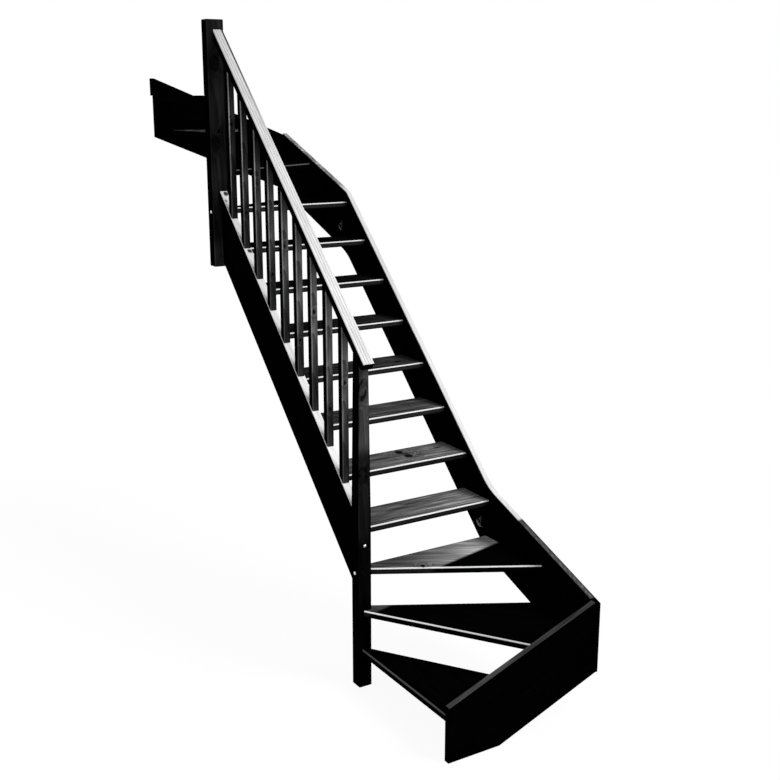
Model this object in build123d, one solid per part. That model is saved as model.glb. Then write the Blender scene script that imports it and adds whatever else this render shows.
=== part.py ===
"""Open timber staircase with a quarter turn at its foot and another at its head.

Units are millimetres, +Z up. The origin is the centre of the lower newel's foot.
The middle flight climbs along +Y beside the inner string. The outer string stands
on the +X side, the way in is along +X at the foot and the way out is along -X at the head.
"""

import os
from math import cos, radians, sin

from build123d import *

# Steps
rise = 200.35
going = 207.0
lower_winder_count = 3
straight_count = 8
upper_winder_count = 2
tread_thickness = 31.5
nosing_radius = 8.0
nosing_under_radius = 2.0
tread_overlap = 22.0
winder_overlap = 18.0
housing_depth = 12.0
housing_gap = 0.5

# Newels
lower_newel_side = 69.0
lower_newel_taper_start = 880.0
lower_newel_side_taper = 12.0
lower_newel_back_taper = 6.0
upper_newel_width = 98.0
upper_newel_depth = 68.0
upper_newel_right_inset = 2.5
upper_newel_hang = 24.0
upper_newel_above_rail = 52.5
newel_arris = 3.0

# Plan
string_thickness = 29.0
string_arris = 2.5
outer_string_face = 767.0
lower_string_face = 778.5
upper_string_reach = 700.0
nosing_4_inset = 14.0
upper_newel_gap = 14.0

# Winder nosings: where each leaves its newel, and its turn from the straight nosings
nosing_1_inset = 15.0
nosing_2_inset = 26.0
nosing_2_angle = 56.4
nosing_3_inset = 27.0
nosing_3_angle = 29.2
nosing_12_inset = 20.5
nosing_12_angle = 29.2
nosing_13_inset = 54.5
nosing_13_angle = 57.5

# Landing nosing
landing_width = 124.0
landing_nosing_outset = 5.0

# Outer string, measured plumb from the line of the nosings, or from the tread in each corner
outer_above = 56.5
outer_below = 299.5
foot_corner_above = 163.0
foot_corner_below = 184.5
head_corner_above = 158.5
head_corner_below = 197.0
lower_bend_offset = 8.0
upper_bend_offset = 2.0
hollow_bend_radius = 320.0
proud_bend_radius = 60.0

# Pockets for the nuts of the bolts that join the outer string at its bends
joint_pocket_diameter = 70.0
joint_pocket_depth = 12.0
joint_pocket_beyond = 64.0
joint_pocket_below = 197.0

# Cross strings
lower_string_end = 21.0
lower_string_foot_length = 275.0
lower_string_end_above = 65.5
lower_string_corner_below = 200.5
upper_string_corner_below = 181.0
upper_string_end_below = 240.0
upper_string_above_floor = 98.0
upper_string_flat = 18.0
upper_string_hook = 13.0

# Inner string and balustrade, measured plumb from the line of the nosings
inner_above = 44.0
inner_below = 312.0
base_rail_width = 42.0
base_rail_thickness = 24.0
base_rail_arris = 2.0
handrail_above = 927.0
handrail_width = 58.0
handrail_thickness = 45.0
handrail_overhang = 49.0
handrail_top_radius = 7.0
handrail_under_radius = 5.0
handrail_groove_count = 3
handrail_groove_pitch = 14.5
handrail_groove_width = 4.0
handrail_groove_depth = 2.0
baluster_side = 36.0
baluster_pitch = 150.0
baluster_count = 9
baluster_arris = 2.0
baluster_housing = 8.0

# Tenons of the inner string
tenon_thickness = 12.0
tenon_length = 30.0
tenon_shoulder = 40.0

# Values that follow from the sizes above
first_straight = lower_winder_count + 1
last_straight = lower_winder_count + straight_count
tread_count = last_straight + upper_winder_count
pitch = rise / going
slope = Vector(0, going, rise).normalized()
half_newel = lower_newel_side / 2
string_half = string_thickness / 2
nosing_4 = half_newel - nosing_4_inset
upper_newel_front = nosing_4 + (last_straight - first_straight) * going + upper_newel_gap
upper_newel_back = upper_newel_front + upper_newel_depth
upper_newel_right = half_newel - upper_newel_right_inset
upper_newel_left = upper_newel_right - upper_newel_width
upper_string_face = upper_newel_back + upper_string_reach
lower_string_back = -lower_string_face - string_thickness
upper_string_back = upper_string_face + string_thickness
nosing_1 = -half_newel + nosing_1_inset
nosing_14 = upper_newel_right + landing_nosing_outset
foot_corner = (first_straight - 2) * rise
head_corner = (last_straight + 1) * rise
landing_height = (tread_count + 1) * rise
lower_string_start = nosing_1 - lower_string_end
upper_string_end = nosing_14 - landing_width
housed_end = outer_string_face + housing_depth
far = 5000.0
touching = 0.01


def nosing_y(step):
    """Place along the flight of a straight tread's nosing."""
    return nosing_4 + (step - first_straight) * going


def pitch_z(y, offset=0.0):
    """Height of the line through the straight nosings, plus an offset."""
    return first_straight * rise + (y - nosing_4) * pitch + offset


def plumb(thickness):
    """Plumb height of a thickness that is measured square to the flight."""
    return thickness / slope.Y


def carried_on(start, end, place):
    """Point at another place on the line through two points."""
    share = (place - start[0]) / (end[0] - start[0])
    return place, start[1] + share * (end[1] - start[1])


def turned_line(start, angle):
    """Point and direction of a nosing turned from +X by an angle in degrees."""
    return Vector(*start), Vector(cos(radians(angle)), sin(radians(angle)))


def nosing_line(step):
    """Point and direction of a step's nosing in plan, with the step on its left."""
    if step == first_straight - 3:
        return Vector(nosing_1, -half_newel), Vector(0, -1)
    if step == first_straight - 2:
        return turned_line((-half_newel + nosing_2_inset, -half_newel), -nosing_2_angle)
    if step == first_straight - 1:
        return turned_line((half_newel, -half_newel + nosing_3_inset), -nosing_3_angle)
    if step <= last_straight:
        return Vector(half_newel, nosing_y(step)), Vector(1, 0)
    if step == last_straight + 1:
        start = (upper_newel_right, upper_newel_front + nosing_12_inset)
        return turned_line(start, nosing_12_angle)
    if step == last_straight + 2:
        start = (upper_newel_right, upper_newel_front + nosing_13_inset)
        return turned_line(start, nosing_13_angle)
    return Vector(nosing_14, upper_newel_back), Vector(0, 1)


def beside_inner_string(step):
    """True for the treads that are housed in the inner string."""
    return lower_winder_count <= step <= last_straight


def back_line(step):
    """Line of a step's back edge, which lies under the next step's nosing."""
    point, along = nosing_line(step + 1)
    straight = lower_winder_count <= step < last_straight or step == tread_count
    overlap = tread_overlap if straight else winder_overlap
    left = Vector(-along.Y, along.X)
    return point + left * overlap, along


def clipped(outline, point, along):
    """Part of a convex outline that lies on the left of a line."""
    kept = []
    for start, end in zip(outline, outline[1:] + outline[:1]):
        side_start = along.X * (start.Y - point.Y) - along.Y * (start.X - point.X)
        side_end = along.X * (end.Y - point.Y) - along.Y * (end.X - point.X)
        if side_start >= 0:
            kept.append(start)
        if side_start * side_end < 0:
            kept.append(start + (end - start) * (side_start / (side_start - side_end)))
    return kept


def newel_core(reach):
    """Both newels, less the depth by which the treads enter their faces."""
    lower = Pos(0, 0, landing_height / 2) * Box(
        lower_newel_side - 2 * reach, lower_newel_side - 2 * reach, 2 * landing_height
    )
    upper_x = (upper_newel_left + upper_newel_right) / 2
    upper_y = (upper_newel_front + upper_newel_back) / 2
    upper = Pos(upper_x, upper_y, landing_height / 2) * Box(
        upper_newel_width - 2 * reach, upper_newel_depth - 2 * reach, 2 * landing_height
    )
    return lower, upper


def step_outline(step, reach):
    """Convex plan of a tread before it is notched round a newel."""
    low_x = string_half - reach if beside_inner_string(step) else -far
    if step > last_straight:
        low_x = nosing_14 - tread_overlap
    corners = [
        Vector(low_x, -lower_string_face - reach),
        Vector(outer_string_face + reach, -lower_string_face - reach),
        Vector(outer_string_face + reach, upper_string_face + reach),
        Vector(low_x, upper_string_face + reach),
    ]
    point, along = nosing_line(step)
    outline = clipped(corners, point, along)
    if step < tread_count:
        point, along = back_line(step)
        outline = clipped(outline, point, along * -1)
    if step < lower_winder_count:
        outline = clipped(outline, Vector(far, half_newel), Vector(-1, 0))
    return outline


def rounded_front(blank, step, top):
    """Blank with the top and bottom arrises of its nosing rounded."""
    point, along = nosing_line(step)
    for height, radius in ((top, nosing_radius), (top - tread_thickness, nosing_under_radius)):
        middle = Vector(point.X, point.Y, height)
        arris = [
            edge
            for edge in blank.edges()
            if (edge @ 0 - middle).cross(along).length < touching
            and (edge @ 1 - middle).cross(along).length < touching
        ]
        blank = fillet(arris, radius)
    return blank


def make_tread(step, reach=housing_depth):
    """One tread, or with a deeper reach the trench that it sits in."""
    top = step * rise
    outline = step_outline(step, reach)
    face = make_face(Polyline(*outline, close=True))
    blank = Pos(0, 0, top - tread_thickness) * extrude(face, tread_thickness, dir=(0, 0, 1))
    blank = rounded_front(blank, step, top)
    for core in newel_core(reach):
        blank = blank - core
    return blank.solids().sort_by(SortBy.VOLUME)[-1]


def make_landing(reach=housing_depth, clearance=0.0):
    """Nosing piece of the floor above, or with a clearance the trench that it sits in."""
    x = nosing_14 - landing_width / 2
    start = upper_newel_back - reach
    length = upper_string_face + reach - start
    thickness = tread_thickness + clearance
    middle = landing_height - tread_thickness + thickness / 2
    blank = Pos(x, start + length / 2, middle) * Box(landing_width, length, thickness)
    front = blank.edges().filter_by(Axis.Y).group_by(Axis.X)[-1]
    upper = front.sort_by(Axis.Z)[-1]
    blank = fillet(upper, nosing_radius)
    under = blank.edges().filter_by(Axis.Y).group_by(Axis.X)[-1].sort_by(Axis.Z)[0]
    blank = fillet(under, nosing_under_radius)
    blank = blank - newel_core(reach)[1]
    return blank.solids().sort_by(SortBy.VOLUME)[-1]


def prism(plane, points, depth, bends=()):
    """Outline drawn on a plane, its bends rounded, as a board of one thickness."""
    face = make_face(plane * Polyline(*points, close=True))
    for at, radius in bends:
        corner = plane.from_local_coords(at)
        vertex = face.vertices().sort_by_distance(corner)[0]
        face = fillet(vertex, radius)
    return extrude(face, depth, dir=plane.z_dir)


def eased(board, through, size):
    """Board with the long arrises of its upper faces taken off."""
    upper_faces = [face for face in board.faces() if face.normal_at().Z > touching]
    arrises = [
        edge
        for face in upper_faces
        for edge in face.edges()
        if abs(edge.tangent_at(0).dot(through)) < touching
    ]
    return chamfer(arrises, size)


def make_outer_string():
    """String of the middle flight, bent where each quarter turn begins."""
    low_bend = nosing_y(first_straight) + lower_bend_offset
    high_bend = nosing_y(last_straight) + upper_bend_offset
    low_top = (low_bend, pitch_z(low_bend, outer_above))
    low_under = (low_bend, pitch_z(low_bend, -outer_below))
    high_top = (high_bend, pitch_z(high_bend, outer_above))
    high_under = (high_bend, pitch_z(high_bend, -outer_below))
    foot_top = (-lower_string_face, foot_corner + foot_corner_above)
    foot_under = (-lower_string_face, foot_corner - foot_corner_below)
    head_top = (upper_string_face, head_corner + head_corner_above)
    head_under = (upper_string_face, head_corner - head_corner_below)
    points = [
        carried_on(low_under, foot_under, lower_string_back),
        low_under,
        high_under,
        carried_on(high_under, head_under, upper_string_back),
        carried_on(high_top, head_top, upper_string_back),
        high_top,
        low_top,
        carried_on(low_top, foot_top, lower_string_back),
    ]
    bends = [
        (low_under, proud_bend_radius),
        (high_under, hollow_bend_radius),
        (high_top, proud_bend_radius),
        (low_top, hollow_bend_radius),
    ]
    plane = Plane.YZ.offset(outer_string_face)
    board = eased(prism(plane, points, string_thickness, bends), plane.z_dir, string_arris)
    for y, z in (low_top, high_top):
        centre = (y + joint_pocket_beyond, z - joint_pocket_below)
        pocket = plane * Pos(*centre) * Cylinder(
            joint_pocket_diameter / 2, 2 * joint_pocket_depth
        )
        board = board - pocket
    return board


def make_lower_string():
    """Cross string of the lower turn, with its foot on the floor."""
    foot_end = (lower_string_start + lower_string_foot_length, 0)
    corner_under = (outer_string_face, foot_corner - lower_string_corner_below)
    corner_top = (outer_string_face, foot_corner + foot_corner_above)
    start_top = (lower_string_start, rise + lower_string_end_above)
    points = [
        (lower_string_start, 0),
        foot_end,
        carried_on(foot_end, corner_under, housed_end),
        carried_on(start_top, corner_top, housed_end),
        start_top,
    ]
    plane = Plane.XZ.offset(lower_string_face)
    return eased(prism(plane, points, string_thickness), plane.z_dir, string_arris)


def make_upper_string():
    """Cross string of the upper turn, with a lip that laps the floor above."""
    top = landing_height + upper_string_above_floor
    lip = upper_string_end - upper_string_hook
    flat_end = (lip + upper_string_flat, top)
    corner_top = (outer_string_face, head_corner + head_corner_above)
    corner_under = (outer_string_face, head_corner - upper_string_corner_below)
    end_under = (upper_string_end, landing_height - upper_string_end_below)
    points = [
        end_under,
        carried_on(end_under, corner_under, housed_end),
        carried_on(flat_end, corner_top, housed_end),
        flat_end,
        (lip, top),
        (lip, landing_height),
        (upper_string_end, landing_height),
    ]
    plane = Plane.XZ.offset(-upper_string_back)
    return eased(prism(plane, points, string_thickness), plane.z_dir, string_arris)


def sloped_board(x, width, low, high, start, end):
    """Board that follows the flight between two plumb offsets and two places."""
    points = [
        (start, pitch_z(start, low)),
        (end, pitch_z(end, low)),
        (end, pitch_z(end, high)),
        (start, pitch_z(start, high)),
    ]
    return prism(Plane.YZ.offset(x - width / 2), points, width)


def make_inner_string():
    """Inner string between the newels, with a tenon at each end."""
    board = sloped_board(
        0, string_thickness, -inner_below, inner_above, half_newel, upper_newel_front
    )
    tenon = sloped_board(
        0,
        tenon_thickness,
        -inner_below + tenon_shoulder,
        inner_above - tenon_shoulder,
        half_newel - tenon_length,
        upper_newel_front + tenon_length,
    )
    return board + tenon


def make_base_rail():
    """Capping on the inner string that carries the balusters."""
    high = inner_above + plumb(base_rail_thickness)
    board = sloped_board(0, base_rail_width, inner_above, high, half_newel, upper_newel_front)
    return eased(board, Vector(1, 0, 0), base_rail_arris)


def make_handrail():
    """Moulded handrail, cut square at its foot and plumb at the upper newel."""
    start_y = -half_newel - handrail_overhang
    start = Vector(0, start_y, pitch_z(start_y, handrail_above))
    profile = Plane(origin=start, x_dir=(-1, 0, 0), z_dir=slope)
    length = (upper_newel_front - start_y) / slope.Y + 2 * handrail_thickness
    bar = extrude(profile * make_handrail_section(), length, dir=slope)
    cutter = Pos(0, upper_newel_front + far / 2, 0) * Box(far, far, 4 * far)
    return (bar - cutter).solids().sort_by(SortBy.VOLUME)[-1]


def make_handrail_section():
    """Handrail section with its top on the X axis: rounded, with fine grooves."""
    outline = Pos(0, -handrail_thickness / 2) * Rectangle(handrail_width, handrail_thickness)
    corners = outline.vertices().group_by(Axis.Y)
    outline = fillet(corners[-1], handrail_top_radius)
    outline = fillet(outline.vertices().group_by(Axis.Y)[0], handrail_under_radius)
    for index in range(handrail_groove_count):
        offset = (index - (handrail_groove_count - 1) / 2) * handrail_groove_pitch
        outline = outline - Pos(offset, 0) * Ellipse(
            handrail_groove_width / 2, handrail_groove_depth
        )
    return outline


def make_baluster(index, arris=baluster_arris):
    """One square baluster, cut to the flight's slope and housed at both ends."""
    middle = (half_newel + upper_newel_front) / 2
    y = middle + (index - (baluster_count + 1) / 2) * baluster_pitch
    low = inner_above + plumb(base_rail_thickness - baluster_housing)
    high = handrail_above - plumb(handrail_thickness - baluster_housing)
    board = sloped_board(
        0, baluster_side, low, high, y - baluster_side / 2, y + baluster_side / 2
    )
    return chamfer(board.edges().filter_by(Axis.Z), arris)


def make_lower_newel():
    """Lower newel, tapered above the string and cut under the handrail."""
    square = Rectangle(lower_newel_side, lower_newel_side)
    square = chamfer(square.vertices(), newel_arris)
    top = pitch_z(half_newel, handrail_above)
    small = Rectangle(
        lower_newel_side - 2 * lower_newel_side_taper, lower_newel_side - lower_newel_back_taper
    )
    small = Pos(0, -lower_newel_back_taper / 2) * chamfer(small.vertices(), newel_arris)
    base = extrude(square, lower_newel_taper_start)
    shaft = loft([Pos(0, 0, lower_newel_taper_start) * square, Pos(0, 0, top) * small])
    under_rail = handrail_above - plumb(handrail_thickness)
    above = sloped_board(0, 2 * far, under_rail, far, -far, far)
    return (base + shaft) - above


def make_upper_newel():
    """Upper newel, which hangs below the string and stands above the rail."""
    x = (upper_newel_left + upper_newel_right) / 2
    y = (upper_newel_front + upper_newel_back) / 2
    foot = pitch_z(upper_newel_front, -inner_below) - upper_newel_hang
    top = pitch_z(upper_newel_front, handrail_above) + upper_newel_above_rail
    blank = Pos(x, y, (foot + top) / 2) * Box(upper_newel_width, upper_newel_depth, top - foot)
    return chamfer(blank.edges(), newel_arris)


def build():
    """Every node's solid, by name, each seated in its neighbours."""
    steps = range(1, tread_count + 1)
    trenches = [make_tread(step, housing_depth + housing_gap) for step in steps]
    trenches.append(make_landing(housing_depth + housing_gap, housing_gap))
    balusters = [make_baluster(index) for index in range(1, baluster_count + 1)]
    lower_string = make_lower_string()
    upper_string = make_upper_string()
    inner_string = make_inner_string()
    nodes = {
        "newel_lower": make_lower_newel() - inner_string,
        "newel_upper": make_upper_newel() - inner_string,
        "string_lower": lower_string,
        "string_outer": make_outer_string() - [lower_string, upper_string],
        "string_upper": upper_string,
        "string_inner": inner_string,
    }
    for name in nodes:
        nodes[name] = nodes[name] - trenches
    nodes["base_rail"] = make_base_rail() - balusters
    nodes["handrail"] = make_handrail() - balusters
    for number, baluster in enumerate(balusters, start=1):
        nodes[f"baluster_{number}"] = baluster
    for step in steps:
        nodes[f"tread_{step:02d}"] = make_tread(step)
    nodes["landing_nosing"] = make_landing()
    return nodes


def main():
    """Write one file for each node."""
    os.makedirs("parts", exist_ok=True)
    for name, solid in build().items():
        export_step(solid, f"parts/{name}.step")


main()
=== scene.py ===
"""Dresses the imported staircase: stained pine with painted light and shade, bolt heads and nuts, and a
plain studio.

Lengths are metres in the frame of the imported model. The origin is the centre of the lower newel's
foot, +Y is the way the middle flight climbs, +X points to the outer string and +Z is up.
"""

import logging
import math
from dataclasses import dataclass, field, replace
from enum import Enum

import bpy
from mathutils import Matrix, Vector


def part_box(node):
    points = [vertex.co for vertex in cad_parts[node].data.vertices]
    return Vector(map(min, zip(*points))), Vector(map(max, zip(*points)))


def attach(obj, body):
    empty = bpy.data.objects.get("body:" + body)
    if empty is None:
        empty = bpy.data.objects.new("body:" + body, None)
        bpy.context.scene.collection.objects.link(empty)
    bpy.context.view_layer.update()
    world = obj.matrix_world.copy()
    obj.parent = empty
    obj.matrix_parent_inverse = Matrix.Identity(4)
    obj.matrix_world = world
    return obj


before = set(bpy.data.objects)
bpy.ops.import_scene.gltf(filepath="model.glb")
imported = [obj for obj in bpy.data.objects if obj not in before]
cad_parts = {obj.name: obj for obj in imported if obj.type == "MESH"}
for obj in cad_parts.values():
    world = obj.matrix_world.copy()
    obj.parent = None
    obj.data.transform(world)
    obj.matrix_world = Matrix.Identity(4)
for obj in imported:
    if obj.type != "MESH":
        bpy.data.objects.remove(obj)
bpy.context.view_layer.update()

log = logging.getLogger("staircase")

UP = Vector((0.0, 0.0, 1.0))
RIGHT = Vector((1.0, 0.0, 0.0))
AHEAD = Vector((0.0, 1.0, 0.0))
RISE = 0.20035
GOING = 0.207
CLIMB = Vector((0.0, GOING, RISE)).normalized()
SQUARE_TO_CLIMB = Vector((0.0, -RISE, GOING)).normalized()
LOWER_WINDERS = 3
LAST_TREAD = 13
OUTER_STRING_FACE = 0.767
POCKET_CENTRES = ((0.0925, 0.66864), (1.5355, 2.06529))


class Projection(Enum):
    """How a board's grain shows on its broad face."""

    FLAT_SAWN = "flat sawn"
    RIFT_SAWN = "rift sawn"


class Tone(Enum):
    """Reflectance of the finishes, from a near-black stain that also paints the shade on faces turned
    from the light, to pale tops that paint the light falling on them.
    """

    # Near-black stain, which also stands for painted shade on faces turned from the light.
    BLACK = 0.0005
    # Dark stain, also painted shade under things and in the painted cast shadow.
    DEEP = 0.0009
    # Painted shadow on a string's top edge.
    DULL = 0.052
    # Painted light on the outer string's top edge and on its pockets' walls.
    PLANED = 0.74
    # Painted light on the handrail's top.
    BARE = 0.79
    # Painted light on the base rail's top.
    PALE = 0.87


@dataclass(frozen=True)
class Stain:
    """A stain over planed softwood.

    Args:
        tone: mean reflectance.
        contrast: how strongly the grain lightens and darkens it.
        ring_gap: distance between growth rings, in metres.
        roughness: roughness of the finish.
        relief: height of the grain's relief, in metres.
    """

    tone: float
    contrast: float = 0.5
    ring_gap: float = 0.009
    roughness: float = 0.6
    relief: float = 0.0004


@dataclass(frozen=True)
class Knot:
    """A knot in a board.

    Args:
        along: distance along the grain from the board's start.
        across: distance across the board from its start.
        size: radius of the knot's dark heart.
        heart: how dark the heart is, from 0 to 1.
        ring: how dark the ring of bark round it is, from 0 to 1.
        stretch: its width along the grain over its width across it.
    """

    along: float
    across: float
    size: float = 0.011
    heart: float = 1.0
    ring: float = 0.0
    stretch: float = 1.6


@dataclass(frozen=True)
class Grain:
    """Where a board's grain lies.

    Args:
        start: a point that the pattern is measured from.
        along: direction of the grain.
        across: direction across the board's broad face.
        cut: how the board was sawn.
    """

    start: Vector
    along: Vector
    across: Vector
    cut: Projection = Projection.FLAT_SAWN

    @property
    def through(self) -> Vector:
        """Direction through the board's thickness."""
        return self.along.cross(self.across).normalized()


class NodeChain:
    """Adds a material's nodes and joins them."""

    def __init__(self, name: str) -> None:
        """Starts a material.

        Args:
            name: the material's name.
        """
        self.material = bpy.data.materials.new(name)
        self.material.use_nodes = True
        self.tree = self.material.node_tree
        self.tree.nodes.clear()
        self.output = self.tree.nodes.new("ShaderNodeOutputMaterial")
        coordinates = self.tree.nodes.new("ShaderNodeTexCoord")
        self.place = coordinates.outputs["Object"]
        self.normal = coordinates.outputs["Normal"]

    def add(self, kind: str, inputs: dict[str | int, object], **settings: object) -> bpy.types.Node:
        """Adds a node.

        Args:
            kind: the node's type.
            inputs: values or sockets for its inputs.
            settings: its other properties.

        Returns:
            The node.
        """
        node = self.tree.nodes.new(kind)
        for key, value in settings.items():
            setattr(node, key, value)
        for key, value in inputs.items():
            if isinstance(value, bpy.types.NodeSocket):
                self.tree.links.new(value, node.inputs[key])
            else:
                node.inputs[key].default_value = value
        return node

    def math(self, operation: str, first: object, second: object = 0.0) -> bpy.types.NodeSocket:
        """Result of a Math node."""
        return self.add("ShaderNodeMath", {0: first, 1: second}, operation=operation).outputs[0]

    def product(self, first: object, second: object) -> bpy.types.NodeSocket:
        """Product of two values."""
        return self.math("MULTIPLY", first, second)

    def along(self, vector: object, direction: Vector) -> bpy.types.NodeSocket:
        """Length of a vector along a direction."""
        inputs = {0: vector, 1: tuple(direction)}
        return self.add("ShaderNodeVectorMath", inputs, operation="DOT_PRODUCT").outputs["Value"]

    def length(self, vector: object) -> bpy.types.NodeSocket:
        """Length of a vector."""
        return self.add("ShaderNodeVectorMath", {0: vector}, operation="LENGTH").outputs["Value"]

    def from_point(self, point: Vector) -> bpy.types.NodeSocket:
        """Place of the surface measured from a point."""
        inputs = {0: self.place, 1: tuple(point)}
        return self.add("ShaderNodeVectorMath", inputs, operation="SUBTRACT").outputs["Vector"]

    def vector(self, x: object, y: object, z: object) -> bpy.types.NodeSocket:
        """Vector of three values."""
        return self.add("ShaderNodeCombineXYZ", {0: x, 1: y, 2: z}).outputs[0]

    def ramp(
        self, value: object, start: float, end: float, low: object = 0.0, high: object = 1.0
    ) -> bpy.types.NodeSocket:
        """Smooth change from one value to another.

        Args:
            value: what drives the change.
            start: where it starts.
            end: where it ends.
            low: the result up to the start.
            high: the result past the end.

        Returns:
            The output socket.
        """
        inputs = {"Value": value, "From Min": start, "From Max": end, "To Min": low, "To Max": high}
        node = self.add("ShaderNodeMapRange", inputs, interpolation_type="SMOOTHSTEP")
        return node.outputs["Result"]

    def noise(self, vector: object, scale: float, detail: float = 2.0) -> bpy.types.NodeSocket:
        """Noise about one half, read at a vector, with a number of octaves."""
        inputs = {"Vector": vector, "Scale": scale, "Detail": detail, "Roughness": 0.55}
        return self.add("ShaderNodeTexNoise", inputs).outputs["Fac"]

    def mixed(self, share: object, first: object, second: object) -> bpy.types.NodeSocket:
        """Mix of two values, by the share of the second."""
        node = self.add("ShaderNodeMix", {0: share, 2: first, 3: second}, data_type="FLOAT")
        return node.outputs[0]

    def finish(self, inputs: dict[str, object]) -> bpy.types.Material:
        """Ends the material in its shader.

        Args:
            inputs: values or sockets for the shader's inputs.

        Returns:
            The material.
        """
        shader = self.add("ShaderNodeBsdfPrincipled", inputs)
        self.tree.links.new(shader.outputs[0], self.output.inputs["Surface"])
        return self.material


class PinePaint:
    """A board's procedural material: growth rings, fibres, knots, stain and wear, and the painted light
    and shade that its covers lay on.

    A knot's distances are shares of its size. A streak has its scale along the grain, its scale
    across the grain and its strength.
    """

    RAGGED_SCALE = 45.0
    RAGGED = 1.5
    SWELL = 1.6
    SWELL_END = 4.5
    HEART_EDGE = (0.8, 1.25)
    HEART_SHARE = 0.06
    RING_RADIUS = 1.7
    RING_EDGE = (0.3, 0.85)
    PITH_DEPTH = {Projection.FLAT_SAWN: 0.055, Projection.RIFT_SAWN: 0.16}
    RINGS_PER_GAP = 0.314
    LATEWOOD_POWER = 2.2
    EARLYWOOD = 0.32
    STREAKS = ((1.7, 22.0, 2.6), (5.0, 75.0, 3.0), (14.0, 500.0, 1.2))

    def __init__(self, name: str, grain: Grain, stain: Stain, knots: tuple[Knot, ...] = ()) -> None:
        """Lays the grain.

        Args:
            name: the material's name.
            grain: where the grain lies.
            stain: the finish.
            knots: the board's knots.
        """
        self.chain = NodeChain(name)
        self.stain = stain
        chain = self.chain
        local = chain.from_point(grain.start)
        self.u = chain.along(local, grain.along)
        self.v = chain.along(local, grain.across)
        self.w = chain.along(local, grain.through)
        self.facing_up = chain.along(chain.normal, UP)
        lift, heart = self._knotted(knots)
        self.pattern = self._figure(grain.cut, lift)
        self.heart = chain.math("MINIMUM", heart, 1.0)
        self.tone = self._stained(stain.tone, stain.contrast)

    def _knotted(self, knots: tuple[Knot, ...]) -> tuple[object, object]:
        """How far each knot lifts the rings round it, and where its dark heart is.

        Args:
            knots: the board's knots.

        Returns:
            The lift and the heart's mask.
        """
        chain = self.chain
        lift, heart = 0.0, 0.0
        for knot in knots:
            along = chain.product(chain.math("SUBTRACT", self.u, knot.along), 1 / knot.stretch)
            across = chain.math("SUBTRACT", self.v, knot.across)
            distance = chain.length(chain.vector(along, across, 0.0))
            ragged = chain.math("SUBTRACT", chain.noise(chain.place, self.RAGGED_SCALE), 0.5)
            distance = chain.math("ADD", distance, chain.product(ragged, self.RAGGED * knot.size))
            swell_end = self.SWELL_END * knot.size
            swell = chain.ramp(distance, 0.0, swell_end, self.SWELL * knot.size, 0.0)
            start, end = (share * knot.size for share in self.HEART_EDGE)
            core = chain.ramp(distance, start, end, knot.heart, 0.0)
            from_ring = chain.math("SUBTRACT", distance, self.RING_RADIUS * knot.size)
            start, end = (share * knot.size for share in self.RING_EDGE)
            ring = chain.ramp(chain.math("ABSOLUTE", from_ring), start, end, knot.ring, 0.0)
            ring = chain.product(ring, chain.ramp(ragged, -0.12, 0.1, 0.35, 1.0))
            lift = chain.math("ADD", lift, swell)
            heart = chain.math("MAXIMUM", heart, chain.math("MAXIMUM", core, ring))
        return lift, heart

    def _figure(self, cut: Projection, lift: object) -> bpy.types.NodeSocket:
        """The grain's pattern, about zero.

        Args:
            cut: how the board was sawn.
            lift: how far the knots lift the rings.

        Returns:
            The output socket.
        """
        chain = self.chain
        wander_place = chain.vector(chain.product(self.u, 1.6), chain.product(self.v, 5.0), self.w)
        wander = chain.math("SUBTRACT", chain.noise(wander_place, 1.0), 0.5)
        depth = chain.math("ADD", self.w, self.PITH_DEPTH[cut])
        depth = chain.math("ADD", depth, lift)
        depth = chain.math("ADD", depth, chain.product(self.u, 0.03))
        side = chain.math("ADD", self.v, chain.product(wander, 0.05))
        rings_place = chain.vector(chain.product(self.u, 0.02), side, depth)
        rings = chain.add(
            "ShaderNodeTexWave",
            {
                "Vector": rings_place,
                "Scale": self.RINGS_PER_GAP / self.stain.ring_gap,
                "Distortion": 1.2,
                "Detail": 2.0,
                "Detail Scale": 0.6,
            },
            wave_type="RINGS",
            rings_direction="X",
            wave_profile="SAW",
        ).outputs["Fac"]
        latewood = chain.math("POWER", rings, self.LATEWOOD_POWER)
        figure = chain.product(chain.math("SUBTRACT", self.EARLYWOOD, latewood), 1.1)
        for slow, fast, strength in self.STREAKS:
            place = chain.vector(
                chain.product(self.u, slow), chain.product(side, fast), chain.product(depth, fast)
            )
            streaks = chain.math("SUBTRACT", chain.noise(place, 1.0), 0.5)
            figure = chain.math("ADD", figure, chain.product(streaks, strength))
        return figure

    def _stained(self, tone: object, contrast: float) -> bpy.types.NodeSocket:
        """A tone with the grain and the knots in it.

        Args:
            tone: mean reflectance.
            contrast: the grain's share of it.

        Returns:
            The output socket.
        """
        chain = self.chain
        cloud = chain.math("SUBTRACT", chain.noise(chain.place, 3.0), 0.5)
        figure = chain.math("ADD", self.pattern, chain.product(cloud, 1.5))
        factor = chain.math("POWER", math.e, chain.product(figure, contrast))
        factor = chain.mixed(self.heart, factor, self.HEART_SHARE)
        return chain.product(tone, factor)

    def front(self) -> bpy.types.NodeSocket:
        """Mask of a post's front and back, which look along Y."""
        along_y = self.chain.along(self.chain.normal, AHEAD)
        return self.chain.ramp(self.chain.math("ABSOLUTE", along_y), 0.5, 0.8)

    def cover(self, mask: object, tone: object, contrast: float = 0.3) -> None:
        """Puts another tone, a stain or painted light or shade, where a mask is one.

        Args:
            mask: where the tone goes.
            tone: its mean reflectance.
            contrast: the grain's share of it.
        """
        self.tone = self.chain.mixed(mask, self.tone, self._stained(tone, contrast))

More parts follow.
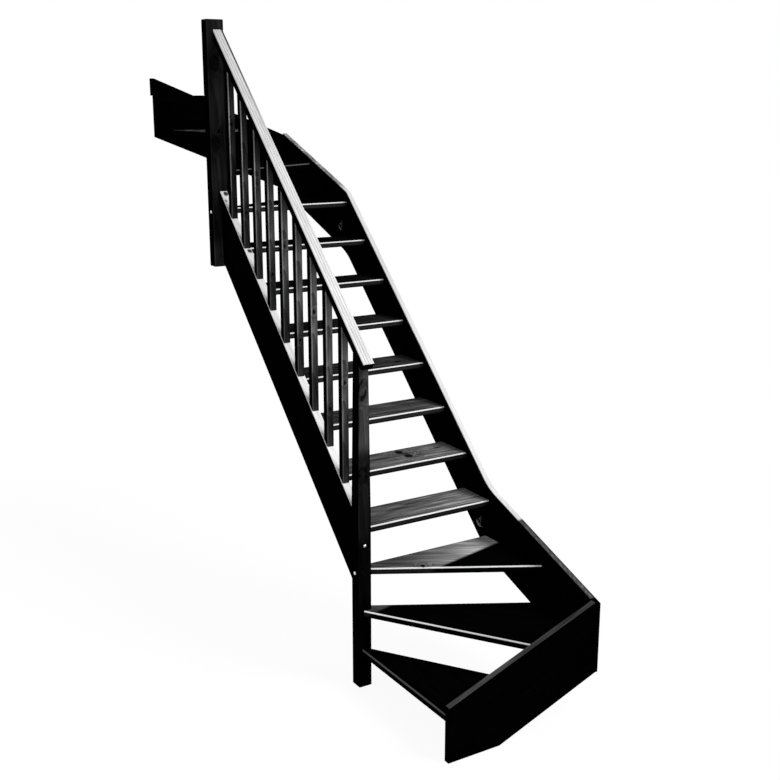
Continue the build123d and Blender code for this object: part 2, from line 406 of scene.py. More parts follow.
    def finish(self) -> bpy.types.Material:
        """Ends the material in its shader.

        Returns:
            The material.
        """
        chain, stain = self.chain, self.stain
        rough = chain.math("ADD", stain.roughness, chain.product(self.pattern, 0.12))
        relief = chain.math("ADD", self.pattern, chain.product(self.heart, -1.0))
        bump_inputs = {"Strength": 0.5, "Distance": stain.relief, "Height": relief}
        bump = chain.add("ShaderNodeBump", bump_inputs).outputs["Normal"]
        return chain.finish(
            {
                "Base Color": self.tone,
                "Roughness": rough,
                "Normal": bump,
                "Specular IOR Level": 0.0,
            }
        )


def dress(node: str, material: bpy.types.Material) -> None:
    """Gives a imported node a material.

    Args:
        node: the node's name.
        material: its material.
    """
    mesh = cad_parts[node].data
    mesh.materials.clear()
    mesh.materials.append(material)
    log.info("%s is dressed in %s", node, material.name)


def ease(piece: bpy.types.Object, width: float, least_angle: float = 30.0) -> None:
    """Rounds the arrises of the active piece.

    Args:
        piece: the piece.
        width: width of the rounding.
        least_angle: arrises that turn less than this many degrees stay sharp.
    """
    bevel = piece.modifiers.new("eased", "BEVEL")
    bevel.width = width
    bevel.segments = 2
    bevel.angle_limit = math.radians(least_angle)
    bpy.ops.object.modifier_apply(modifier=bevel.name)


@dataclass
class Shade:
    """A painted cast shadow over the foot of the stair: what lies below a slanting plane is painted
    dark.
    """

    slant: Vector = field(default_factory=lambda: Vector((-0.249, 1.0, 0.95)))
    limit: float = 0.3166
    soft: float = 0.012

    def above(self, chain: NodeChain) -> bpy.types.NodeSocket:
        """Mask of what lies above the plane, out of the painted shadow."""
        reach = chain.along(chain.place, self.slant)
        return chain.ramp(reach, self.limit - self.soft, self.limit + self.soft)


@dataclass(frozen=True)
class TreadTones:
    """Reflectance of a tread.

    Args:
        top: of its top.
        nose: of its nosing, with wear and a painted highlight.
        front: of the face under the nosing, in painted shade.
    """

    top: float
    nose: float
    front: float


@dataclass(frozen=True)
class WinderNose:
    """Where a winder's nosing leaves its newel.

    Args:
        newel: the newel's node.
        on_front: whether it leaves the newel's front, or else its right side.
        offset: distance from that side's left or front arris.
        angle: its direction, turned from +X, in degrees.
    """

    newel: str
    on_front: bool
    offset: float
    angle: float


WINDER_NOSES = {
    1: WinderNose("newel_lower", True, 0.015, -90.0),
    2: WinderNose("newel_lower", True, 0.026, -56.4),
    3: WinderNose("newel_lower", False, 0.027, -29.2),
    12: WinderNose("newel_upper", False, 0.0205, 29.2),
    13: WinderNose("newel_upper", False, 0.0545, 57.5),
}


@dataclass
class Flight:
    """The treads of the stair and the nosing of the floor above.

    The tops' tones are painted light, which grows darker up the flight by the factor fade for each
    tread past last_lit; the fronts, the undersides and the shaded steps are painted shade.
    """

    nosing_width: float = 0.0056
    nosing_blur: float = 0.001
    front_band: float = 0.0175
    lit_top: float = 0.1
    last_lit: int = 5
    fade: float = 0.42
    winder_contrast: float = 0.75
    straight_contrast: float = 1.15
    ring_gap: float = 0.0085
    ring_gap_change: float = 0.0008
    spread_from: float = 0.1
    spread_to: float = 0.8
    # Painted light and shade along the tops: winder_lift brightens the winders, and the shares run from
    # darker by the newels to lighter towards the outer string.
    winder_lift: float = 1.2
    winder_shares: tuple[float, float] = (0.5, 4.4)
    straight_shares: tuple[float, float] = (0.72, 1.6)
    # Nosings: wear with a painted highlight.
    nose: float = 0.84
    second_nose: float = 0.95
    # Painted shade on the fronts.
    low_front: float = 0.012
    high_front: float = 0.021
    # Steps in painted shade, with a painted sheen on the last top.
    shaded_steps: tuple[int, ...] = (1, 12, 13)
    shaded: TreadTones = TreadTones(0.0008, 0.09, 0.0012)
    last_top_sheen: float = 0.025
    landing_nose: float = 0.3
    shade: Shade = field(default_factory=Shade)
    second_shade: Shade = field(default_factory=lambda: Shade(limit=0.2976))

    def nosing(self, step: int) -> tuple[Vector, Vector]:
        """Start and direction of a step's nosing, with the step on its left.

        Args:
            step: the step's number.

        Returns:
            The point and the direction.
        """
        if step not in WINDER_NOSES:
            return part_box(f"tread_{step:02d}")[0], RIGHT
        winder = WINDER_NOSES[step]
        low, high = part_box(winder.newel)
        if winder.on_front:
            point = Vector((low.x + winder.offset, low.y, 0.0))
        else:
            point = Vector((high.x, low.y + winder.offset, 0.0))
        turn = math.radians(winder.angle)
        return point, Vector((math.cos(turn), math.sin(turn), 0.0))

    def tones(self, step: int) -> TreadTones:
        """Tones of a tread, which paint the light and shade on it.

        Args:
            step: the step's number.

        Returns:
            Its tones.
        """
        if step == LAST_TREAD:
            return replace(self.shaded, top=self.last_top_sheen)
        if step in self.shaded_steps:
            return self.shaded
        top = self.lit_top * self.fade ** max(0, step - self.last_lit)
        if step <= LOWER_WINDERS:
            top *= self.winder_lift
        nose = self.second_nose if step == 2 else self.nose
        front = self.low_front if step <= self.last_lit else self.high_front
        return TreadTones(top, nose, front)

    def knots(self, step: int) -> tuple[Knot, ...]:
        """Knots that show in a tread's top.

        Args:
            step: the step's number.

        Returns:
            The knots.
        """
        placed = {
            3: (Knot(0.263, 0.018, 0.015, stretch=0.9),),
            4: (Knot(0.39, 0.17, 0.009, heart=0.5),),
            5: (
                Knot(0.466, 0.185, 0.023, stretch=0.95),
                Knot(0.478, 0.11, 0.026, stretch=0.9),
                Knot(0.478, 0.143, 0.014, heart=0.8, stretch=1.6),
                Knot(0.68, 0.15, 0.011, heart=0.8),
            ),
            6: (Knot(0.62, 0.12, 0.007, heart=0.6),),
            7: (Knot(0.66, 0.09, 0.014), Knot(0.3, 0.05, 0.006)),
            10: (Knot(0.4, 0.1, 0.009),),
            12: (Knot(0.5, 0.2, 0.012),),
        }
        return placed.get(step, ())

    def dress_tread(self, step: int) -> None:
        """Stains one tread, with painted light and shade, and its nosing with wear and a painted
        highlight.

        Args:
            step: the step's number.
        """
        point, along = self.nosing(step)
        tones = self.tones(step)
        turning = step <= LOWER_WINDERS
        cut = Projection.FLAT_SAWN if step % 3 else Projection.RIFT_SAWN
        contrast = self.winder_contrast if turning else self.straight_contrast
        ring_gap = self.ring_gap + self.ring_gap_change * (step % 4)
        stain = Stain(tones.top, contrast, ring_gap=ring_gap)
        grain = Grain(Vector((point.x, point.y, step * RISE)), along, UP.cross(along), cut)
        paint = PinePaint(f"tread_stain_{step:02d}", grain, stain, self.knots(step))
        chain = paint.chain
        near, far = self.winder_shares if turning else self.straight_shares
        start, end = self.spread_from, self.spread_to
        # Painted light and shade along the top, darker by the newel and lighter towards the outer
        # string.
        painted_light_spread = chain.ramp(paint.u, start, end, near * tones.top, far * tones.top)
        paint.cover(chain.ramp(paint.facing_up, 0.4, 0.85), painted_light_spread, contrast)
        # Painted shade on the front and other faces that are not the top.
        not_top = chain.ramp(paint.facing_up, 0.85, 0.4)
        paint.cover(not_top, self.front_tone(paint, tones.front), 0.4)
        # Painted cast shadow over the winders below the slanting plane.
        if turning:
            shade = self.second_shade if step == 2 else self.shade
            paint.cover(chain.math("SUBTRACT", 1.0, shade.above(chain)), Tone.DEEP.value, 0.5)
        # Painted shade on the underside.
        paint.cover(chain.ramp(paint.facing_up, -0.1, -0.3), Tone.DEEP.value, 0.5)
        # The nosing: wear with a painted highlight, fading along the second step.
        nose = tones.nose
        if step == 2:
            nose = chain.ramp(paint.u, 0.1, 0.5, nose, 0.8 * nose)
        paint.cover(self.wear_and_highlight(paint), nose, 0.12)
        dress(f"tread_{step:02d}", paint.finish())

    def front_tone(self, paint: PinePaint, front: float) -> bpy.types.NodeSocket:
        """Tone of a tread's front, painted shade: palest half way down and dark at its arrises.

        Args:
            paint: the tread's material.
            front: reflectance half way down.

        Returns:
            The output socket.
        """
        chain = paint.chain
        off_band = chain.math("ABSOLUTE", chain.math("ADD", paint.w, self.front_band))
        start, end = 0.3 * self.front_band, 0.55 * self.front_band
        return chain.ramp(off_band, start, end, front, 0.25 * front)

    def wear_and_highlight(self, paint: PinePaint) -> bpy.types.NodeSocket:
        """Mask of the nosing, where feet have rubbed the stain off and a painted highlight runs along
        its rounded edge.

        Args:
            paint: the tread's material.

        Returns:
            The output socket.
        """
        chain = paint.chain
        start, end = self.nosing_width + self.nosing_blur, self.nosing_width - self.nosing_blur
        edge = chain.ramp(paint.v, start, end)
        return chain.product(edge, chain.ramp(paint.facing_up, 0.1, 0.35))

    def dress_landing(self) -> None:
        """Stains the nosing piece of the floor above."""
        low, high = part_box("landing_nosing")
        grain = Grain(Vector((high.x, low.y, high.z)), AHEAD, -RIGHT)
        paint = PinePaint("landing_stain", grain, Stain(Tone.DEEP.value))
        paint.cover(self.wear_and_highlight(paint), self.landing_nose, 0.15)
        dress("landing_nosing", paint.finish())

    def build(self) -> None:
        """Dresses every step."""
        for step in range(1, LAST_TREAD + 1):
            self.dress_tread(step)
        self.dress_landing()


@dataclass
class Strings:
    """The strings that carry the treads."""

    shade: Shade = field(default_factory=Shade)
    contrast: float = 0.65
    pocket_reach: float = 0.0365
    pocket_blur: float = 0.0005
    # Depth and blur of the painted light on the pockets' walls.
    pocket_lit_depth: float = 0.0055
    pocket_lit_blur: float = 0.001
    inner_strip: float = 0.013
    strip_blur: float = 0.005
    corner_y: float = -0.77
    corner_x: float = 0.761
    corner_blur: float = 0.004
    strip_gain: float = 1.8
    edge_fade: tuple[float, float] = (0.1, 1.4)
    edge_share: float = 0.88
    head_from: tuple[float, float] = (1.46, 1.62)
    head_edge: float = 0.21
    foot_slope: float = 0.37
    head_slope: float = 0.4

    def in_pockets(self, chain: NodeChain) -> bpy.types.NodeSocket:
        """Mask of the outer rim of the pockets' round walls, where it faces up, which takes painted
        light.

        Args:
            chain: the material's nodes.

        Returns:
            The output socket.
        """
        sideways = chain.math("ABSOLUTE", chain.along(chain.normal, RIGHT))
        wall = chain.ramp(sideways, 0.6, 0.4)
        lit_end = OUTER_STRING_FACE + self.pocket_lit_depth
        x = chain.along(chain.place, RIGHT)
        wall = chain.product(wall, chain.ramp(x, lit_end + self.pocket_lit_blur, lit_end))
        wall = chain.product(wall, chain.ramp(chain.along(chain.normal, UP), 0.1, 0.35))
        near = 0.0
        for y, z in POCKET_CENTRES:
            local = chain.from_point(Vector((0.0, y, z)))
            across = chain.vector(0.0, chain.along(local, AHEAD), chain.along(local, UP))
            reach = self.pocket_reach
            inside = chain.ramp(chain.length(across), reach, reach - self.pocket_blur)
            near = chain.math("MAXIMUM", near, inside)
        return chain.product(wall, near)

    def begin(
        self, node: str, along: Vector, across: Vector, top: float
    ) -> tuple[PinePaint, bpy.types.NodeSocket]:
        """Stains a string black, which also paints the shade on its sides, with its upper edge in a
        tone of its own.

        Args:
            node: the string's node.
            along: direction of its grain.
            across: direction across its broad face.
            top: reflectance of its upper edge.

        Returns:
            The material and the mask of the upper edge.
        """
        stain = Stain(Tone.BLACK.value, contrast=0.6, ring_gap=0.012, roughness=0.7)
        paint = PinePaint(f"{node}_stain", Grain(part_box(node)[0], along, across), stain)
        upper = paint.chain.ramp(paint.facing_up, 0.4, 0.6)
        paint.cover(upper, top, self.contrast)
        return paint, upper

    def dress_outer(self) -> None:
        """Dresses the outer string: painted light on its top edge, painted shadow at its foot, lighter
        along the top's inner half and darker at its head.
        """
        shaded_edge, edge = Tone.DULL.value, Tone.PLANED.value
        paint, upper = self.begin("string_outer", CLIMB, SQUARE_TO_CLIMB, shaded_edge)
        chain = paint.chain
        x = chain.along(chain.place, RIGHT)
        y = chain.along(chain.place, AHEAD)
        strip_end = OUTER_STRING_FACE + self.inner_strip
        inner_half = chain.ramp(x, strip_end + self.strip_blur, strip_end)
        paint.cover(chain.product(upper, inner_half), self.strip_gain * shaded_edge, self.contrast)
        # Painted light on the top edge above the painted shadow, dimming up the flight, and darker at
        # the head.
        lit = chain.product(upper, self.shade.above(chain))
        paint.cover(lit, chain.ramp(y, *self.edge_fade, edge, self.edge_share * edge), 0.12)
        paint.cover(chain.product(lit, chain.ramp(y, *self.head_from)), self.head_edge, 0.95)
        # Painted light on the pockets' walls.
        paint.cover(self.in_pockets(chain), edge, 0.2)
        corner = chain.ramp(y, self.corner_y, self.corner_y - self.corner_blur)
        paint.cover(chain.product(upper, corner), Tone.BLACK.value, 0.3)
        dress("string_outer", paint.finish())

    def dress_other(self, node: str, along: Vector, across: Vector, top: float) -> None:
        """Dresses one of the other strings, with black where the outer string meets its top.

        Args:
            node: the string's node.
            along: direction of its grain.
            across: direction across its broad face.
            top: reflectance of its upper edge.
        """
        paint, upper = self.begin(node, along, across, top)
        chain = paint.chain
        x = chain.along(chain.place, RIGHT)
        corner = chain.ramp(x, self.corner_x, self.corner_x + self.corner_blur)
        paint.cover(chain.product(upper, corner), Tone.BLACK.value, 0.3)
        dress(node, paint.finish())

    def build(self) -> None:
        """Dresses the four strings."""
        self.dress_outer()
        self.dress_other("string_inner", CLIMB, SQUARE_TO_CLIMB, Tone.BLACK.value)
        outward = Vector((1.0, 0.0, self.foot_slope)).normalized()
        across = Vector((-self.foot_slope, 0.0, 1.0)).normalized()
        self.dress_other("string_lower", outward, across, Tone.DULL.value)
        inward = Vector((-1.0, 0.0, self.head_slope)).normalized()
        across = Vector((self.head_slope, 0.0, 1.0)).normalized()
        self.dress_other("string_upper", inward, across, Tone.DEEP.value)


@dataclass
class Newels:
    """The two newel posts."""

    arris: float = 0.007
    # Painted highlight on a front's left arris, and painted shade along its right arris.
    arris_highlight_gain: float = 1.6
    dark_strip: tuple[float, float] = (0.011, 0.008)
    right_arris_shade: float = 0.3

    def dress_newel(
        self, node: str, tones: tuple[tuple[float, float], ...], knots: tuple[Knot, ...]
    ) -> None:
        """Stains a newel: near black on its sides, which also paints their shade, and lighter on its
        front, where light is painted.

        Args:
            node: the newel's node.
            tones: heights and the front's reflectance at each.
            knots: knots in the front, from its lower left corner.
        """
        low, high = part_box(node)
        grain = Grain(Vector((low.x, low.y, 0.0)), UP, RIGHT)
        stain = Stain(Tone.BLACK.value, ring_gap=0.011)
        paint = PinePaint(f"{node}_stain", grain, stain, knots)
        chain = paint.chain
        height = chain.along(chain.place, UP)
        tone = tones[0][1]
        for (below, _), (above, value) in zip(tones, tones[1:]):
            tone = chain.ramp(height, below, above, tone, value)
        # The front's painted light, by height.
        front = paint.front()
        paint.cover(front, tone, 0.55)
        # Painted highlight along the front's left arris.
        left = chain.ramp(paint.v, self.arris, 0.6 * self.arris)
        paint.cover(chain.product(front, left), chain.product(tone, self.arris_highlight_gain), 0.3)
        # Painted shade along the front's right arris.
        width = high.x - low.x
        start, end = self.dark_strip
        right = chain.ramp(paint.v, width - start, width - end)
        paint.cover(chain.product(front, right), chain.product(tone, self.right_arris_shade), 0.3)
        dress(node, paint.finish())

    def build(self) -> None:
        """Dresses both newels."""
        # Front tones by height; the near-black tones low on the lower newel are the painted cast shadow
        # over the foot of the stair.
        foot = (
            (0.4, 0.0006), (0.5, 0.0022), (0.72, 0.0018), (0.82, 0.0068),
            (0.95, 0.0085), (1.17, 0.0085), (1.25, 0.05),
        )
        foot_knots = (
            Knot(1.5, 0.028, 0.011, heart=0.3, ring=0.95, stretch=2.2),
            Knot(1.457, 0.022, 0.011, heart=0.9, stretch=1.2),
            Knot(1.0865, 0.025, 0.013, heart=0.3, ring=0.95, stretch=1.5),
            Knot(1.36, 0.064, 0.006, stretch=1.0),
            Knot(0.62, 0.02, 0.006),
        )
        self.dress_newel("newel_lower", foot, foot_knots)
        head = (
            (1.97, 0.022), (2.06, 0.008), (2.25, 0.0058), (2.38, 0.0125),
            (2.56, 0.0065), (2.8, 0.0115), (2.98, 0.0072), (3.12, 0.0135),
        )
        head_knots = (
            Knot(2.97, 0.036, 0.013, heart=0.5, ring=0.8),
            Knot(2.616, 0.05, 0.007),
            Knot(2.553, 0.03, 0.012, heart=0.5, ring=0.8),
        )
        self.dress_newel("newel_upper", head, head_knots)


@dataclass
class Balustrade:
    """The handrail, the base rail and the balusters between them."""

    count: int = 9
    arris: float = 0.0065
    # Painted highlight on a front's left arris, and painted shadow over the feet of the balusters.
    arris_highlight: float = 0.27
    foot_shadow_share: float = 0.27
    foot_shadow_fade: tuple[float, float] = (0.15, 0.42)
    pattern_step: float = 0.137
    pale_below: float = 1.8
    dark_above: float = 2.6
    pale: float = 0.08
    dark: float = 0.014
    top_fade: tuple[float, float] = (0.2, 1.4)
    top_share: float = 0.76
    # A painted shade line beside the handrail's right arris.
    line_inset: float = 0.007
    line_edge: tuple[float, float] = (0.004, 0.006)
    line_from: tuple[float, float] = (0.85, 1.35)
    line_tone: float = 0.05

    def dress_rail(
        self, node: str, tone: float, knots: tuple[Knot, ...], line: bool = False
    ) -> None:
        """Paints a rail's top pale, as painted light, and stains its sides near black, which also
        paints their shade.

        Args:
            node: the rail's node.
            tone: reflectance of its top.
            knots: knots in its top.
            line: whether a painted shade line runs up beside its right arris.
        """
        low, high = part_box(node)
        grain = Grain(low, CLIMB, RIGHT, Projection.RIFT_SAWN)
        stain = Stain(Tone.BLACK.value, ring_gap=0.006)
        paint = PinePaint(f"{node}_stain", grain, stain, knots)
        chain = paint.chain
        # Painted light on the top, dimming up the flight.
        upper = chain.ramp(chain.along(chain.normal, SQUARE_TO_CLIMB), 0.2, 0.35)
        climbed = chain.along(chain.place, AHEAD)
        paint.cover(upper, chain.ramp(climbed, *self.top_fade, tone, self.top_share * tone), 0.12)
        if line:
            # Painted shade on the top beside the right arris, where the rounded shoulder turns from the
            # light.
            right = chain.math("SUBTRACT", high.x - low.x, paint.v)
            off_line = chain.math("ABSOLUTE", chain.math("SUBTRACT", right, self.line_inset))
            strip = chain.ramp(off_line, *self.line_edge, 1.0, 0.0)
            strength = chain.ramp(climbed, *self.line_from)
            streak = chain.product(chain.product(strip, upper), strength)
            paint.cover(streak, self.line_tone, 0.3)
        dress(node, paint.finish())

    def dress_baluster(self, index: int) -> None:
        """Stains one baluster: near black on its sides, which also paints their shade, and lighter on
        its front as painted light, with a painted highlight on its left arris and a painted shadow over
        its foot.

        Args:
            index: the baluster's number, from the foot.
        """
        node = f"baluster_{index}"
        low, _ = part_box(node)
        start = Vector((low.x, low.y, self.pattern_step * index))
        grain = Grain(start, UP, RIGHT, Projection.RIFT_SAWN)
        stain = Stain(Tone.BLACK.value, ring_gap=0.006)
        knots = (Knot(low.z - start.z + 0.2 + 0.31 * (index % 2), 0.016, 0.006),)
        paint = PinePaint(f"{node}_stain", grain, stain, knots)
        chain = paint.chain
        front = paint.front()
        height = chain.along(chain.place, UP)
        # Painted shadow over the baluster's foot.
        dark_end, pale_start = self.foot_shadow_fade
        foot_shadow = chain.ramp(height, low.z + dark_end, low.z + pale_start, self.foot_shadow_share, 1.0)
        # The front's painted light, darker higher up.
        tone = chain.ramp(height, self.pale_below, self.dark_above, self.pale, self.dark)
        paint.cover(front, chain.product(tone, foot_shadow), 0.9)
        # Painted highlight along the front's left arris.
        left = chain.product(front, chain.ramp(paint.v, self.arris, 0.7 * self.arris))
        paint.cover(left, chain.product(self.arris_highlight, foot_shadow), 0.6)
        dress(node, paint.finish())

    def rail_knots(self) -> tuple[Knot, ...]:
        """Knots in the base rail's top, by their distance up the slope.

        Returns:
            The knots.
        """
        low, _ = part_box("base_rail")
        climb = math.hypot(GOING, RISE) / GOING
        at_head = Knot((1.486 - low.y) * climb, 0.029, 0.013, stretch=1.2)
        under_it = Knot((1.45 - low.y) * climb, 0.013, 0.006, heart=0.8)
        midway = Knot((1.193 - low.y) * climb, 0.028, 0.012, stretch=1.2)
        return at_head, under_it, midway

    def build(self) -> None:
        """Dresses the balustrade."""
        self.dress_rail("handrail", Tone.BARE.value, (), line=True)
        self.dress_rail("base_rail", Tone.PALE.value, self.rail_knots())
        for index in range(1, self.count + 1):
            self.dress_baluster(index)


@dataclass
class Fixings:
    """Bright domed heads of the bolts and screws that hold the newels to the strings and treads."""

    radius: float = 0.0085
    rim: float = 0.0015
    dome: float = 0.004
    washer_share: float = 0.18
    dome_steps: tuple[tuple[float, float], ...] = ((0.06, 0.35), (0.14, 0.35), (0.22, 0.2), (0.22, 0.1))
    eased: float = 0.0003
    front_bolt_z: float = 0.733
    back_bolt_inset: float = 0.064
    back_bolt_z: float = 2.12
    lower_screw_y: float = 0.004
    lower_screw_z: float = 0.588
    upper_screw_inset: float = 0.027
    upper_screw_z: float = 2.183

    def metal(self) -> bpy.types.Material:
        """Zinc-plated steel, slightly brushed.

        Returns:
            The material.
        """
        chain = NodeChain("fixing_metal")
        grain = chain.noise(chain.place, 900.0, 3.0)
        rough = chain.ramp(grain, 0.3, 0.7, 0.22, 0.42)
        return chain.finish(
            {"Base Color": (0.72, 0.72, 0.72, 1.0), "Roughness": rough, "Metallic": 1.0}
        )

    def head(self, name: str, place: Vector, outward: Vector, metal: bpy.types.Material) -> None:
        """Models one domed head on its washer.

        Args:
            name: the piece's name.
            place: point of the face that it sits on.
            outward: direction out of that face.
            metal: its material.
        """
        bpy.ops.object.select_all(action="DESELECT")
        bpy.ops.mesh.primitive_cylinder_add(
            vertices=24, radius=self.radius, depth=self.rim, location=(0, 0, self.rim / 2)
        )
        piece = bpy.context.object
        piece.name = name
        bpy.ops.object.mode_set(mode="EDIT")
        bpy.ops.mesh.select_all(action="DESELECT")
        bpy.ops.object.mode_set(mode="OBJECT")
        for face in piece.data.polygons:
            face.select = face.normal.z > 0.9
        bpy.ops.object.mode_set(mode="EDIT")
        bpy.ops.mesh.inset(thickness=self.washer_share * self.radius, depth=0.0)
        for inset, rise in self.dome_steps:
            bpy.ops.mesh.inset(thickness=inset * self.radius, depth=rise * self.dome)
        bpy.ops.object.mode_set(mode="OBJECT")
        ease(piece, self.eased)
        turn = outward.to_track_quat("Z", "Y").to_matrix().to_4x4()
        piece.matrix_world = Matrix.Translation(place) @ turn
        bpy.ops.object.transform_apply(location=True, rotation=True, scale=True)
        bpy.ops.object.shade_smooth_by_angle(angle=math.radians(50))
        piece.data.materials.append(metal)
        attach(piece, "root")
        log.info("%s sits at %s", name, tuple(round(value, 3) for value in place))

    def build(self) -> None:
        """Places the heads on the newels."""
        metal = self.metal()
        low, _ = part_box("newel_lower")
        head_low, head_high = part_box("newel_upper")
        front = Vector((0.0, low.y, self.front_bolt_z))
        self.head("bolt_front", front, -AHEAD, metal)
        back = Vector((head_low.x + self.back_bolt_inset, head_high.y, self.back_bolt_z))
        self.head("bolt_back", back, AHEAD, metal)
        lower = Vector((low.x, self.lower_screw_y, self.lower_screw_z))
        self.head("screw_lower", lower, -RIGHT, metal)
        upper = Vector((head_low.x, head_low.y + self.upper_screw_inset, self.upper_screw_z))
        self.head("screw_upper", upper, -RIGHT, metal)


@dataclass
class JointNuts:
    """Nuts, plate washers and bolt ends in the outer string's two pockets.

    A bolt along the string draws the boards of each bend together. Its nut sits in the pocket.
    """

    depth: float = 0.012
    axis_depth: float = 0.0065
    washer_height: float = 0.042
    washer_thickness: float = 0.003
    washer_clearance: float = 0.001
    washer_eased: float = 0.0008
    lift: float = 0.004
    forward: float = 0.004
    set_back: float = 0.4
    nut_across: float = 0.0115
    nut_length: float = 0.01
    nut_rim: float = 0.0009
    nut_raised: float = 0.0007
    bolt: float = 0.008
    bolt_end: float = 0.011
    bolt_eased: float = 0.0009

    def washer(self, at: Vector) -> bpy.types.Object:
        """Models the plate that the nut bears on.

        Args:
            at: middle of the plate.

        Returns:
            The piece.
        """
        bpy.ops.object.select_all(action="DESELECT")
        bpy.ops.mesh.primitive_cube_add(size=1.0, location=at)
        plate = bpy.context.object
        width = self.depth - self.washer_clearance
        plate.dimensions = (width, self.washer_thickness, self.washer_height)
        bpy.ops.object.transform_apply(location=True, rotation=True, scale=True)
        ease(plate, self.washer_eased)
        return plate

    def shank(self, at: Vector) -> bpy.types.Object:
        """Models the nut with the bolt's end standing out of it.

        Args:
            at: middle of the nut's bearing face.

        Returns:
            The piece.
        """
        bpy.ops.object.select_all(action="DESELECT")
        bpy.ops.mesh.primitive_cylinder_add(
            vertices=6,
            radius=self.nut_across / math.sqrt(3),
            depth=self.nut_length,
            location=at + Vector((0, self.nut_length / 2, 0)),
            rotation=(-math.pi / 2, 0, 0),
        )
        nut = bpy.context.object
        bpy.ops.object.transform_apply(location=True, rotation=True, scale=True)
        for face in nut.data.polygons:
            face.select = face.normal.y > 0.9
        bpy.ops.object.mode_set(mode="EDIT")
        bpy.ops.mesh.select_mode(type="FACE")
        bpy.ops.mesh.inset(thickness=self.nut_rim, depth=self.nut_raised)
        bpy.ops.object.mode_set(mode="OBJECT")
        bpy.ops.object.select_all(action="DESELECT")
        reach = self.nut_length + self.bolt_end
        bpy.ops.mesh.primitive_cylinder_add(
            vertices=20,
            radius=self.bolt / 2,
            depth=reach,
            location=at + Vector((0, reach / 2, 0)),
            rotation=(-math.pi / 2, 0, 0),
        )
        stud = bpy.context.object
        bpy.ops.object.transform_apply(location=True, rotation=True, scale=True)
        ease(stud, self.bolt_eased, 60.0)
        nut.select_set(True)
        bpy.context.view_layer.objects.active = nut
        bpy.ops.object.join()
        return nut

    def steel(self) -> bpy.types.Material:
        """Dull zinc-plated steel with a little grime.

        Returns:
            The material.
        """
        chain = NodeChain("joint_steel")
        grime = chain.noise(chain.place, 260.0, 3.0)
        tone = chain.ramp(grime, 0.35, 0.65, 0.03, 0.08)
        rough = chain.ramp(grime, 0.3, 0.7, 0.45, 0.65)
        return chain.finish(
            {"Base Color": tone, "Roughness": rough, "Metallic": 0.3, "Specular IOR Level": 0.1}
        )

    def build(self) -> None:
        """Sets a nut in each pocket."""
        finish = self.steel()
        x = OUTER_STRING_FACE + self.depth - self.axis_depth
        for name, (y, z) in zip(("joint_nut_low", "joint_nut_high"), POCKET_CENTRES):
            bearing_y = y + self.forward - self.set_back * self.nut_length
            bearing = Vector((x, bearing_y, z + self.lift))
            plate = self.washer(bearing - Vector((0, self.washer_thickness / 2, 0)))
            piece = self.shank(bearing)
            plate.select_set(True)
            bpy.context.view_layer.objects.active = piece
            bpy.ops.object.join()
            piece.name = name
            bpy.ops.object.shade_smooth_by_angle(angle=math.radians(40))
            piece.data.materials.clear()
            piece.data.materials.append(finish)
            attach(piece, "root")
            log.info("%s sits at y %.3f, z %.3f", name, y, z)


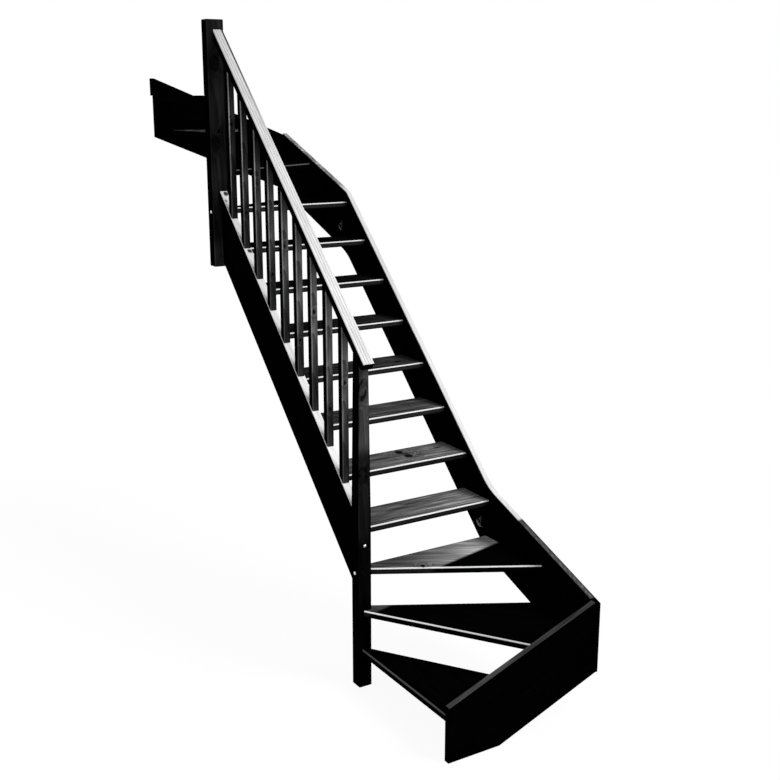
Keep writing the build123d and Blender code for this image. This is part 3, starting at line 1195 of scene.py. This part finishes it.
@dataclass
class Studio:
    """Floor, light and camera."""

    eye: Vector = field(default_factory=lambda: Vector((-2.5732, -4.435, 2.7955)))
    tilt: float = 75.70
    turn: float = -31.65
    focal_pixels: float = 1148.59
    frame_pixels: float = 780.0
    sensor: float = 36.0
    clip_end: float = 200.0
    floor_size: float = 60.0
    floor_level: float = -0.0005
    floor_share: float = 0.92
    floor_strength: float = 1.02
    sky: float = 0.45
    key: float = 2.2
    key_angle: float = 25.0
    key_from: Vector = field(default_factory=lambda: Vector((0.38, -0.52, 0.76)))

    def seen_directly(self, tree: bpy.types.NodeTree) -> bpy.types.NodeSocket:
        """One for camera, glossy and transmission rays.

        Args:
            tree: the node tree.

        Returns:
            The output socket.
        """
        path = tree.nodes.new("ShaderNodeLightPath")
        total = path.outputs["Is Camera Ray"]
        for name in ("Is Glossy Ray", "Is Transmission Ray"):
            larger = tree.nodes.new("ShaderNodeMath")
            larger.operation = "MAXIMUM"
            tree.links.new(total, larger.inputs[0])
            tree.links.new(path.outputs[name], larger.inputs[1])
            total = larger.outputs[0]
        return total

    def light(self) -> None:
        """Makes the sky and one soft key light."""
        world = bpy.data.worlds.new("studio_sky")
        bpy.context.scene.world = world
        world.use_nodes = True
        tree = world.node_tree
        tree.nodes.clear()
        strength = tree.nodes.new("ShaderNodeMapRange")
        tree.links.new(self.seen_directly(tree), strength.inputs["Value"])
        strength.inputs["To Min"].default_value = self.sky
        strength.inputs["To Max"].default_value = 1.0
        background = tree.nodes.new("ShaderNodeBackground")
        background.inputs["Color"].default_value = (1.0, 1.0, 1.0, 1.0)
        tree.links.new(strength.outputs["Result"], background.inputs["Strength"])
        output = tree.nodes.new("ShaderNodeOutputWorld")
        tree.links.new(background.outputs[0], output.inputs["Surface"])
        lamp = bpy.data.lights.new("key_light", "SUN")
        lamp.energy = self.key
        lamp.angle = math.radians(self.key_angle)
        key = bpy.data.objects.new("key_light", lamp)
        key.rotation_mode = "QUATERNION"
        key.rotation_quaternion = self.key_from.to_track_quat("Z", "Y")
        bpy.context.scene.collection.objects.link(key)

    def floor(self) -> None:
        """Makes the pale floor, white to the camera with a faint shadow."""
        bpy.ops.object.select_all(action="DESELECT")
        bpy.ops.mesh.primitive_plane_add(size=self.floor_size, location=(0, 0, self.floor_level))
        plane = bpy.context.object
        plane.name = "studio_floor"
        material = bpy.data.materials.new("floor_white")
        material.use_nodes = True
        tree = material.node_tree
        tree.nodes.clear()
        diffuse = tree.nodes.new("ShaderNodeBsdfDiffuse")
        diffuse.inputs["Color"].default_value = (0.9, 0.9, 0.9, 1.0)
        white = tree.nodes.new("ShaderNodeEmission")
        mix = tree.nodes.new("ShaderNodeMixShader")
        share = tree.nodes.new("ShaderNodeMath")
        share.operation = "MULTIPLY"
        share.inputs[1].default_value = self.floor_share
        white.inputs["Strength"].default_value = self.floor_strength
        tree.links.new(self.seen_directly(tree), share.inputs[0])
        tree.links.new(share.outputs[0], mix.inputs[0])
        tree.links.new(diffuse.outputs[0], mix.inputs[1])
        tree.links.new(white.outputs[0], mix.inputs[2])
        output = tree.nodes.new("ShaderNodeOutputMaterial")
        tree.links.new(mix.outputs[0], output.inputs["Surface"])
        plane.data.materials.append(material)

    def camera(self) -> None:
        """Stands the camera where the photograph was taken from."""
        lens = bpy.data.cameras.new("studio_camera")
        lens.sensor_width = self.sensor
        lens.lens = self.focal_pixels / self.frame_pixels * self.sensor
        lens.clip_end = self.clip_end
        camera = bpy.data.objects.new("studio_camera", lens)
        camera.location = self.eye
        camera.rotation_euler = (math.radians(self.tilt), 0.0, math.radians(self.turn))
        bpy.context.scene.collection.objects.link(camera)
        bpy.context.scene.camera = camera

    def build(self) -> None:
        """Sets up the studio."""
        bpy.context.scene.view_settings.view_transform = "Standard"
        self.camera()
        self.light()
        self.floor()


def main() -> None:
    """Builds the sub-assemblies in order."""
    logging.basicConfig(level=logging.INFO, format="%(message)s")
    Studio().build()
    Newels().build()
    Strings().build()
    Flight().build()
    Balustrade().build()
    Fixings().build()
    JointNuts().build()


if __name__ == "__main__":
    main()
